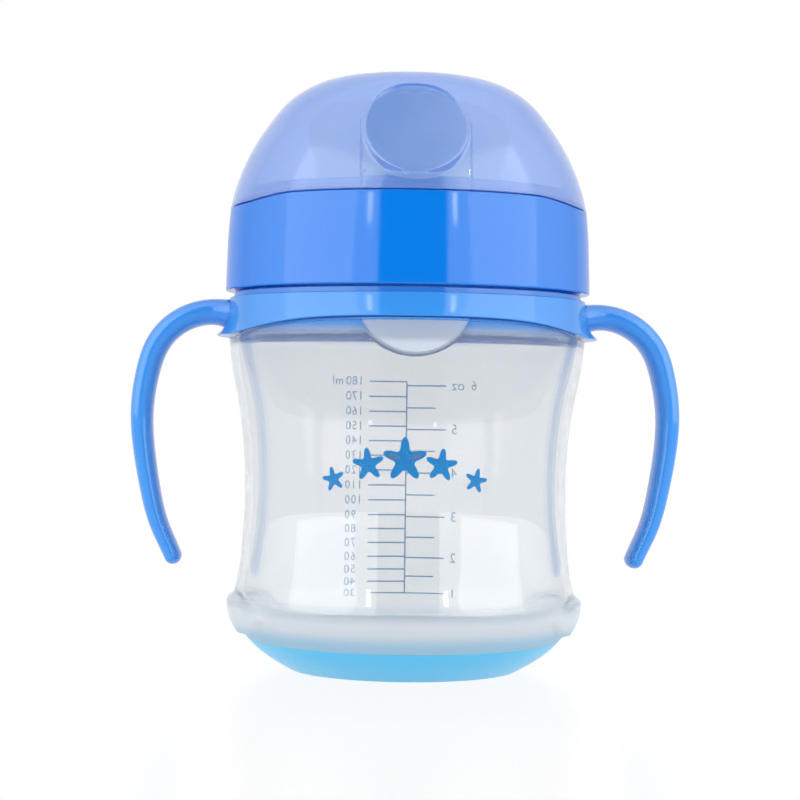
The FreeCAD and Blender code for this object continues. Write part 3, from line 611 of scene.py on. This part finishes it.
def base_sole():
    """Soft sole: recessed underside, foot ring, bowl flush with the cup, bonded face above."""
    bowl = cut_line(WALL_LINE, 0.25, SOLE_TOP_Z - 0.12, 22)
    bonded = cut_line(REBATE_LINE, FLOOR_UNDER_Z, SOLE_TOP_Z, 9)[::-1]
    bonded = bonded + np.array([-0.04, 0.04])
    under = rounded([(3.0, SOLE_RECESS), (FOOT_R - FOOT_W - 0.5, SOLE_RECESS, 0.3),
                     (FOOT_R - FOOT_W, 0.0, 0.25), (FOOT_R, 0.0, 0.5), tuple(bowl[0])])[:-1]
    rim = np.array([[wall_r(SOLE_TOP_Z) - 0.08, SOLE_TOP_Z - 0.03],
                    [wall_r(SOLE_TOP_Z) - 0.3, SOLE_TOP_Z + 0.02]])
    top = np.array([[18.0, FLOOR_UNDER_Z + 0.04], [8.0, FLOOR_UNDER_Z + 0.04]])
    r, z, a = lathe(np.concatenate([under, bowl, rim, bonded, top]), azimuths())
    piece = make_piece("soft_sole", [closed_grid(turn(r, z, a))], SOLE_BLUE, "cup", "soft_sole",
                       "base_sole")
    # painted light: marks the bonded face for its painted paler colour
    bonded_painted_light_share = np.ones(len(piece.data.vertices), np.float32)
    bonded_painted_light_share[:(len(under) + len(bowl) + 1) * r.shape[1]] = 0
    bonded_painted_light_share[r.size] = 0
    piece.data.attributes.new("bonded", "FLOAT", "POINT").data.foreach_set("value", bonded_painted_light_share)
    return piece


# ---------------------------------------------------------------- handle ring
def handle_strap(side):
    """One open C: a superoval section carried along a smooth centreline, nose rounded.

    At each point the section is half the thickness along the line's normal and half the depth
    along Y; near the ring both grow, so that the root flares into the ring's wall.
    """
    root = RING_TOP_Z - HANDLE_T_ROOT / 2 - 0.4
    shape = [(0.2775, 0), (0.600, 0.043), (0.8155, 0.121), (0.9385, 0.238), (1, 0.398),
             (0.969, 0.553), (0.8985, 0.697), (0.785, 0.844), (0.662, 0.9375),
             (1 - HANDLE_CURL / HANDLE_STAND, 1)]
    line = smooth_line([(RING_BORE_R + 1.0, root)] + [
        (RING_TOP_R + HANDLE_STAND * out, root - HANDLE_DROP * down) for out, down in shape], 400)
    run = np.concatenate([[0], np.cumsum(np.linalg.norm(np.diff(line, axis=0), axis=1))])
    nose = HANDLE_T_TIP / 2
    marks = np.concatenate([np.linspace(0, run[-1] - nose, 90),
                            run[-1] - nose + nose * np.sin(np.linspace(0.15, 1.55, 8))])
    at = np.stack([np.interp(marks, run, line[:, k]) for k in (0, 1)], 1)
    along = np.stack([np.interp(marks, run, np.gradient(line[:, k], run)) for k in (0, 1)], 1)
    along /= np.linalg.norm(along, axis=1)[:, None]
    share = marks / run[-1]
    tip = np.sqrt(np.clip(1 - np.clip((marks - run[-1] + nose) / nose, 0, 1) ** 2, 0, 1))
    thick = (HANDLE_T_ROOT + (HANDLE_T_TIP - HANDLE_T_ROOT) * share ** 1.5) / 2 * tip
    root_flare = 1.6 * np.exp(-np.clip(at[:, 0] - RING_TOP_R, 0, None) / 1.6)
    deep = HANDLE_DEPTH / 2 * tip + root_flare
    t = np.linspace(0, 2 * np.pi, 48, endpoint=False)
    c, s = np.cos(t), np.sin(t)
    round_c, round_s = np.sign(c) * np.abs(c) ** (2 / 2.5), np.sign(s) * np.abs(s) ** (2 / 2.5)
    up = thick[:, None] * round_c
    up = up - root_flare[:, None] * np.clip(-round_c, 0, 1) * 0.6
    x = at[:, :1] - along[:, 1:] * up
    z = at[:, 1:] + along[:, :1] * up
    return closed_grid(np.stack([side * x, deep[:, None] * round_s, z + 0 * x], -1))


EDGE_ROWS = 7       # rows of the skirt's rounded lower edge


def handle_ring():
    """Ring round the neck: flared skirt whose lower edge is arched, bore and raised land.

    A turned profile is stretched from its top down to the arch, and the skirt's radius is read
    again at each new height, so that the arch cuts the flare and doesn't bend it.
    """
    low_r = RING_TOP_R + RING_FLARE
    skirt = smooth_line([(RING_TOP_R, RING_TOP_Z - 0.5), (RING_TOP_R + 0.5, RING_LOW_Z + 3.6),
                         (low_r - 1.1, RING_LOW_Z + 1.4), (low_r - 0.1, RING_LOW_Z + 0.35)], 40)
    land_r = RING_BORE_R + RING_LAND_W
    foot = rounded([tuple(skirt[-1]), (low_r - 0.1, RING_LOW_Z, 0.3),
                    (RING_BORE_R, RING_LOW_Z, 0.3),
                    (RING_BORE_R, SEAT_TOP_Z, 0.2), (land_r, SEAT_TOP_Z, 0.2),
                    (land_r, RING_TOP_Z, 0.1), (RING_TOP_R, RING_TOP_Z, 0.5), tuple(skirt[0])])
    r, z, a = lathe(np.concatenate([skirt, foot[1:-1]]), azimuths())
    x = r * np.sin(a)
    lift = arch_z(x) - RING_LOW_Z
    share = np.clip((RING_TOP_Z - 0.5 - z) / (RING_TOP_Z - 0.5 - RING_LOW_Z), 0, 1)
    z = z + lift * share
    profile_z, profile_r = skirt[::-1, 1], skirt[::-1, 0]
    row = np.arange(len(r))[:, None] - len(skirt)
    r = np.where(row < 0, np.interp(z, profile_z, profile_r), r)
    near = (row >= 0) & (row < EDGE_ROWS)
    outer_edge = np.interp(arch_z(x) + 0.35, profile_z, profile_r)
    r = np.where(near, r - (low_r - 0.1) + outer_edge, r)
    ring = closed_grid(turn(r, z, a), True)
    return make_piece("handle_pair", [ring, handle_strap(1), handle_strap(-1)], HANDLE_BLUE, "cup",
                      "blue_handles", "handle_ring")


# ---------------------------------------------------------------- collar
def screw_collar():
    """Collar: gently tapered skirt, dipped land, upstand for the cap, deck, bore with thread.

    A turned profile; its land and the skirt's last 8 mm below it drop with the seam.
    """
    up_in = UPSTAND_R - UPSTAND_T
    side = smooth_line([(COLLAR_R, COLLAR_LOW_Z + 0.6), (COLLAR_R - 0.2, COLLAR_LOW_Z + 7.5),
                        (COLLAR_R - 0.4, COLLAR_LOW_Z + 12.5), (COLLAR_TOP_R, LAND_Z - 0.35)], 40)
    rest = rounded([tuple(side[-1]), (COLLAR_TOP_R, LAND_Z, 0.3), (UPSTAND_R, LAND_Z, 0.25),
                    (UPSTAND_R, UPSTAND_TOP_Z - 1.4, 0.1),
                    (UPSTAND_R + 0.2, UPSTAND_TOP_Z - 0.9, 0.3),
                    (UPSTAND_R, UPSTAND_TOP_Z - 0.3, 0.2),
                    (UPSTAND_R - 0.2, UPSTAND_TOP_Z, 0.3),
                    (up_in, UPSTAND_TOP_Z, 0.4), (up_in, DECK_Z, 0.5), (DECK_HOLE_R, DECK_Z, 0.5),
                    (DECK_HOLE_R, DECK_LOW_Z, 0.2), (COLLAR_BORE_R, DECK_LOW_Z, 0.5),
                    (COLLAR_BORE_R, COLLAR_LOW_Z, 0.3), (COLLAR_R, COLLAR_LOW_Z, 0.5),
                    tuple(side[0])])
    r, z, a = lathe(np.concatenate([side, rest[1:-1]]), azimuths())
    drop = seam_drop(r * np.sin(a)) * (r > UPSTAND_R + 0.45)
    z = z + drop * np.clip((z - LAND_Z + 8) / 8, 0, 1) * (z <= LAND_Z + 0.01)
    return make_piece("screw_collar", [closed_grid(turn(r, z, a), True),
                                       thread(COLLAR_BORE_R, -1, THREAD_Z + PITCH / 2)],
                      COLLAR_BLUE, "collar", "blue_collar", "collar")


# ---------------------------------------------------------------- travel cap
def travel_cap():
    """Dome with a slanted oval thumb pad and, inside it, the pocket that its core leaves.

    Points of the skin that lie inside the oval prism are moved along the pad's normal onto its
    plane, with a smooth step at the edge; the lining keeps the pad's thickness behind it.
    """
    outer = cap_line()
    rim_z = LAND_Z + GAP
    outside = cut_line(outer, rim_z, CROWN_FLAT_Z, 118)
    crown = outer[outer[:, 1] > CROWN_FLAT_Z][::6]
    outside = np.concatenate([outside, crown[crown[:, 0] > 1.0]])[::-1]
    lining = offset_line(outer, CAP_WALL)
    clear_of_rim = lining[(lining[:, 0] > 1.0) & (lining[:, 1] > rim_z + 0.1)]
    inside = np.concatenate([clear_of_rim[:-1:3], clear_of_rim[-1:]])
    r, z, a = lathe(np.concatenate([outside, inside]), azimuths((0, 25, 0.45)))
    skin = np.arange(len(r))[:, None] < len(outside)
    base = rim_z + 4.0
    rim = rim_z + seam_drop(r * np.sin(a))
    z = np.where(z < base, base + (z - base) * (rim - base) / (rim_z - base), z)
    for rows, line in ((skin, outer), (~skin, lining)):
        up = line[np.argsort(line[:, 1])]
        r = np.where((z < base) & rows, np.interp(z, up[:, 1], up[:, 0]), r)
    p = turn(r, z, a)
    top = np.array([0, -CAP_BROW_R - 0.6, CROWN_Z - THUMB_TOP_DROP])
    lip = np.array([0, -THUMB_LIP_R, LAND_Z + THUMB_LIP_RISE])
    along = (lip - top) / np.linalg.norm(lip - top)
    normal = np.array([0, along[2], -along[1]])
    from_middle = p - (top + lip) / 2
    down, over = from_middle @ along, from_middle @ normal
    edge = oval_edge(p[..., 0], down, THUMB_W / 2, THUMB_L / 2)
    facing = p[..., 1] < -12
    step = smoothstep(edge / 0.5) * facing
    p = p + (skin * step * -over)[..., None] * normal
    behind = np.minimum(over, -THUMB_T)
    p = p + (~skin * step * (behind - over))[..., None] * normal
    slope = (lip[1] - top[1]) / (lip[2] - top[2])
    plane_y = top[1] + (p[..., 2] - top[2]) * slope
    pocket_y = np.maximum(plane_y + THUMB_T / abs(normal[1]), POCKET_FRONT_Y)
    in_pocket = ~skin & facing & (np.abs(p[..., 0]) < THUMB_W / 2) & (p[..., 2] < POCKET_TOP_Z)
    p[..., 1] = np.where(in_pocket, pocket_y, p[..., 1])
    return make_piece("travel_dome", [closed_grid(p)], TINTED, "cap", "tinted_cap", "travel_cap")


# ---------------------------------------------------------------- spout
def soft_spout():
    """Spout in one skin: flange, mound that flattens into a wide mouthpiece, hollow, skirt.

    Each row is an oval of half width w and half depth d at height z, between a circle on the
    mound and a flat oval at the lips; the inside repeats the rows one wall smaller.
    """
    flange_r = COLLAR_BORE_R - TOOTH_H / 2
    mound_r = DECK_HOLE_R - GAP - 0.1
    deck = DECK_Z
    rows = smooth_line([(w, d, deck + up) for w, d, up in (
        (mound_r, mound_r, 0), (22.0, 21.2, 2.4), (20.6, 18.0, 4.4), (19.3, 14.2, 6.1),
        (18.8, 11.2, 7.9), (19.2, 9.0, 10.4), (20.1, 7.6, 12.9), (20.7, 6.7, 15.4),
        (20.3, 5.9, 17.9), (18.4, 5.0, 20.1), (15.6, 4.0, 21.9), (11.8, 2.8, 23.1),
        (6.4, 1.5, 23.75), (1.0, 0.3, 23.9))], 70)
    hollow = rows[:-4][::-1].copy()
    hollow[:, 2] -= SPOUT_T * smoothstep((hollow[:, 2] - deck - 8) / 12)
    hollow[:, 0] = np.maximum(hollow[:, 0] - SPOUT_T, 0.8)
    hollow[:, 1] = np.maximum(hollow[:, 1] - SPOUT_T, 0.8)
    skirt_r = MOUTH_R - GAP
    throat_r = mound_r - SPOUT_T
    foot = rounded([(throat_r - 1.2, deck - 0.5), (throat_r - 1.2, deck - 0.6, 0.1),
                    (throat_r, deck - 0.6, 0.2), (throat_r, FLANGE_Z, 0.3),
                    (skirt_r - 1.4, FLANGE_Z, 0.3), (skirt_r - 1.4, FLANGE_Z - SKIRT_H, 0.4),
                    (skirt_r, FLANGE_Z - SKIRT_H, 0.5), (skirt_r, FLANGE_Z, 0.3),
                    (flange_r, FLANGE_Z, 0.5), (flange_r, FLANGE_Z + FLANGE_T, 0.5),
                    (mound_r, FLANGE_Z + FLANGE_T, 0.4), (mound_r, deck - 0.2)])
    foot = np.stack([foot[:, 0], foot[:, 0], foot[:, 1]], 1)
    line = np.concatenate([hollow[:-1], foot, rows])
    t = np.linspace(0, 2 * np.pi, 120, endpoint=False)
    grid = np.stack([line[:, :1] * np.sin(t), -line[:, 1:2] * np.cos(t),
                     line[:, 2:] + 0 * t], -1)
    return make_piece("soft_spout_skin", [closed_grid(grid)], SILICONE, "spout", "silicone",
                      "soft_spout")


# ---------------------------------------------------------------- prints
def on_wall(points, middle):
    """Flat (across, height, out) points bent round the cup's wall about an azimuth."""
    r = wall_r(points[:, 1])
    return turn(r + points[:, 2], points[:, 1], middle + PRINT_TURN + points[:, 0] / r)


def ink_line(start, end, width):
    """Closed thin bar from start to end on the flat print, in enough steps to bend."""
    start, end = np.array(start, float), np.array(end, float)
    f = np.linspace(0, 1, 12)[:, None]
    middle = start * (1 - f) + end * f
    along = (end - start) / np.linalg.norm(end - start)
    across = np.array([-along[1], along[0]]) * width / 2
    low, high = middle - across, middle + across
    loop = [(low, 0.0), (high, 0.0), (high, INK_T), (low, INK_T)]
    rings = np.stack([np.concatenate([p, np.full((len(p), 1), INK_LIFT + out)], 1)
                      for p, out in loop], 1)
    vertices = rings.reshape(-1, 3)
    ends = np.array([[0, 1, 2, 3], len(vertices) - np.array([4, 1, 2, 3])])
    return vertices, outward(vertices, [grid_faces(len(rings), 4, False, True), ends])


def ink_text(words, size, across, height, align):
    """Numbers as closed thin solids, their left or right end at a place on the flat print."""
    curve = bpy.data.curves.new("numbers", "FONT")
    curve.body, curve.size, curve.align_x, curve.align_y = words, size, align, "CENTER"
    curve.extrude = INK_T / 2
    curve.resolution_u = 3
    curve.space_character = 1.08
    holder = bpy.data.objects.new("numbers", curve)
    bpy.context.scene.collection.objects.link(holder)
    bpy.context.view_layer.update()
    mesh = bpy.data.meshes.new_from_object(holder.evaluated_get(
        bpy.context.evaluated_depsgraph_get()))
    vertices = np.empty(len(mesh.vertices) * 3, np.float32)
    mesh.vertices.foreach_get("co", vertices)
    vertices = vertices.reshape(-1, 3).astype(float)
    faces = [np.array([list(f.vertices)]) for f in mesh.polygons]
    bpy.data.objects.remove(holder)
    bpy.data.meshes.remove(mesh)
    bpy.data.curves.remove(curve)
    vertices += np.array([across, height, INK_LIFT + INK_T / 2])
    return vertices, faces


def ink_star(across, height, size, lean):
    """Five-pointed star with softened points, as a closed thin solid on the flat print.

    Its radius is a power of a cosine wave with five crests to the turn.
    """
    t = np.linspace(0, 2 * np.pi, 80, endpoint=False)
    wave = (1 + np.cos(5 * t)) / 2
    r = size * (0.46 + 0.54 * wave ** 1.6)
    flat = np.stack([across + r * np.sin(t + lean), height + r * np.cos(t + lean)], 1)
    low = np.concatenate([flat, np.full((len(t), 1), INK_LIFT)], 1)
    high = np.concatenate([flat, np.full((len(t), 1), INK_LIFT + INK_T)], 1)
    return closed_grid(np.stack([low, high]))


def volume_height(ml):
    """Height of a volume mark, from the marks' heights at every 30 ml."""
    return float(np.interp(ml, MARK_ML, MARK_Z))


def volume_scale():
    """Scale on the back: millilitres to the reader's right, fluid ounces to the left."""
    parts = []
    for ml in range(30, 181, 10):
        z = volume_height(ml)
        parts.append(ink_line((0, z), (8.6, z), 0.34))
        parts.append(ink_text(f"{ml}", 2.7, 14.2, z, "RIGHT"))
    for half_ounces in range(2, 13):
        z = volume_height(half_ounces * OUNCE_ML / 2)
        whole = half_ounces % 2 == 0
        parts.append(ink_line((0, z), (-9.0 if whole else -6.6, z), 0.32))
        if whole:
            words = f"{half_ounces // 2}"
            parts.append(ink_text(words, 3.1, -10.3 if half_ounces < 12 else -15.0, z, "RIGHT"))
    parts.append(ink_text("ml", 2.7, 14.8, volume_height(180), "LEFT"))
    parts.append(ink_text("oz", 3.1, -10.3, volume_height(6 * OUNCE_ML), "RIGHT"))
    parts.append(ink_line((0, volume_height(30)), (0, volume_height(180)), 0.34))
    bent = [(on_wall(vertices, np.pi), faces) for vertices, faces in parts]
    return make_piece("volume_scale", bent, SCALE_INK, "cup", "print_ink", smooth=False)


def star_motif():
    """Five stars in a gentle bow on the front wall."""
    middle_z, spacing, bow = 43.4, 7.0, 0.02
    parts = []
    for i, size in enumerate((2.4, 3.2, 4.3, 3.2, 2.4)):
        across = (i - 2) * spacing
        parts.append(ink_star(across, middle_z - bow * across ** 2, size, 0.12 * (i - 2)))
    bent = [(on_wall(vertices, 0.0), faces) for vertices, faces in parts]
    return make_piece("star_motif", bent, MOTIF_INK, "cup", "print_ink", smooth=False)


cup_shell()
base_sole()
handle_ring()
screw_collar()
travel_cap()
soft_spout()
volume_scale()
star_motif()
for valve_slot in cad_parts["spout_valve"].material_slots:
    valve_slot.material = SILICONE


# ---------------------------------------------------------------- studio
EYE_DISTANCE, EYE_HEIGHT, EYE_AZIMUTH = 431.0, 54.0, math.radians(-2.4)
LENS, SENSOR = 94.7, 36.0
ROLL = math.radians(0.75)
SHIFT = (-0.0078, 0.0047)


def point_at(obj, target):
    """Turns a light so that it shines at a place."""
    direction = Vector(target) - obj.location
    obj.rotation_euler = direction.to_track_quat("-Z", "Y").to_euler()


def camera():
    """Level camera a little left of the front, rolled slightly."""
    data = bpy.data.cameras.new("camera")
    data.lens, data.sensor_width = LENS, SENSOR
    data.shift_x, data.shift_y = SHIFT
    data.clip_start = 0.01
    eye = bpy.data.objects.new("camera", data)
    bpy.context.scene.collection.objects.link(eye)
    place = Vector((math.sin(EYE_AZIMUTH), -math.cos(EYE_AZIMUTH), 0)) * EYE_DISTANCE * MM
    place.z = EYE_HEIGHT * MM
    forward = Vector((0, 0, EYE_HEIGHT * MM)) - place
    level = forward.to_track_quat("-Z", "Y").to_matrix()
    eye.matrix_world = Matrix.Translation(place) @ (level @ Matrix.Rotation(ROLL, 3, "Z")).to_4x4()
    bpy.context.scene.camera = eye


def softbox(name, azimuth, distance, width, height, middle_z, power):
    """Rectangular area light that faces the cup; lengths in metres, power in watts."""
    data = bpy.data.lights.new(name, "AREA")
    data.shape, data.size, data.size_y = "RECTANGLE", width, height
    data.energy = power
    lamp = bpy.data.objects.new(name, data)
    bpy.context.scene.collection.objects.link(lamp)
    a = math.radians(azimuth)
    lamp.location = (distance * math.sin(a), -distance * math.cos(a), middle_z)
    point_at(lamp, (0, 0, 0.06))


def room_light():
    """White room whose front half is brighter in reflections, with a dark gap at the camera.

    The brightness of a mirrored ray is about three times white towards the front, one towards the
    back, and none within 21 degrees of the front, where nothing is lit. Other rays see plain
    white, a little lower where they light a surface or come through a clear one.
    """
    world = bpy.data.worlds.new("white_room")
    bpy.context.scene.world = world
    world.use_nodes = True
    tree = world.node_tree
    path = add(tree, "ShaderNodeLightPath").outputs
    ray = add(tree, "ShaderNodeSeparateXYZ", [
        (0, add(tree, "ShaderNodeTexCoord").outputs["Generated"])]).outputs
    mirrored = add(tree, "ShaderNodeMath", [(0, path["Is Glossy Ray"]),
                                            (1, path["Is Transmission Ray"])],
                   operation="SUBTRACT", use_clamp=True).outputs["Value"]
    screens = add(tree, "ShaderNodeMapRange", [("Value", ray["Y"]), ("From Min", 0.6),
                                               ("From Max", 0.0), ("To Min", 1.0),
                                               ("To Max", 2.95)]).outputs["Result"]
    back = add(tree, "ShaderNodeMath", [(0, ray["Y"]), (1, -1.0)], operation="MULTIPLY")
    azimuth = add(tree, "ShaderNodeMath", [(0, ray["X"]), (1, back.outputs["Value"])],
                  operation="ARCTAN2").outputs["Value"]
    from_gap = add(tree, "ShaderNodeMath", [(0, azimuth), (1, math.radians(0.5))],
                   operation="SUBTRACT").outputs["Value"]
    away = add(tree, "ShaderNodeMath", [(0, from_gap)], operation="ABSOLUTE").outputs["Value"]
    past_gap = add(tree, "ShaderNodeMapRange", [
        ("Value", away), ("From Min", math.radians(20.5)),
        ("From Max", math.radians(22.0))]).outputs["Result"]
    lit = add(tree, "ShaderNodeMath", [(0, screens), (1, past_gap)],
              operation="MULTIPLY").outputs["Value"]
    level = add(tree, "ShaderNodeMix", [("Factor", mirrored), ("A", 1.0), ("B", lit)],
                data_type="FLOAT").outputs["Result"]
    for kind, share in (("Is Transmission Ray", 0.88), ("Is Diffuse Ray", 0.80)):
        dim = add(tree, "ShaderNodeMapRange", [("Value", path[kind]), ("To Min", 1.0),
                                               ("To Max", share)]).outputs["Result"]
        level = add(tree, "ShaderNodeMath", [(0, level), (1, dim)],
                    operation="MULTIPLY").outputs["Value"]
    tree.links.new(level, tree.nodes["Background"].inputs["Strength"])
    tree.nodes["Background"].inputs["Color"].default_value = (1, 1, 1, 1)


def floor():
    """White acrylic sheet lit from below; its faint blurred reflection ends near the cup."""
    side = 6.0
    mesh = bpy.data.meshes.new("floor")
    mesh.from_pydata([(-side, -side, 0), (side, -side, 0), (side, side, 0), (-side, side, 0)], [],
                     [(0, 1, 2, 3)])
    sheet = bpy.data.objects.new("floor", mesh)
    bpy.context.scene.collection.objects.link(sheet)
    material, tree = new_material("white_acrylic_floor")
    lit = add(tree, "ShaderNodeEmission", [("Color", linear("FFFFFF")), ("Strength", 1.0)])
    gloss = add(tree, "ShaderNodeBsdfGlossy", [("Color", linear("FFFFFF")), ("Roughness", 0.22)])
    place = add(tree, "ShaderNodeTexCoord").outputs["Object"]
    away = add(tree, "ShaderNodeVectorMath", [(0, place)], operation="LENGTH").outputs["Value"]
    near = add(tree, "ShaderNodeMapRange", [("Value", away), ("From Min", 0.40), ("From Max", 0.20),
                                            ("To Max", 0.10)]).outputs["Result"]
    both = add(tree, "ShaderNodeMixShader", [("Fac", near), (1, lit.outputs["Emission"]),
                                             (2, gloss.outputs["BSDF"])])
    finish_material(tree, both.outputs["Shader"])
    mesh.materials.append(material)


def studio():
    """White room and floor, two softboxes and two thin strips."""
    room_light()
    floor()
    for name, azimuth in (("left", -60), ("right", 60)):
        softbox(f"softbox_{name}", azimuth, 0.9, 0.9, 0.9, 0.45, 4.0)
    for name, azimuth in (("left", -26), ("right", 26)):
        softbox(f"strip_{name}", azimuth, 0.75, 0.035, 0.16, 0.30, 0.16)
    bpy.context.scene.view_settings.view_transform = "Standard"
    light_paths = bpy.context.scene.cycles
    light_paths.max_bounces = light_paths.transmission_bounces = 24
    light_paths.glossy_bounces = 16


camera()
studio()
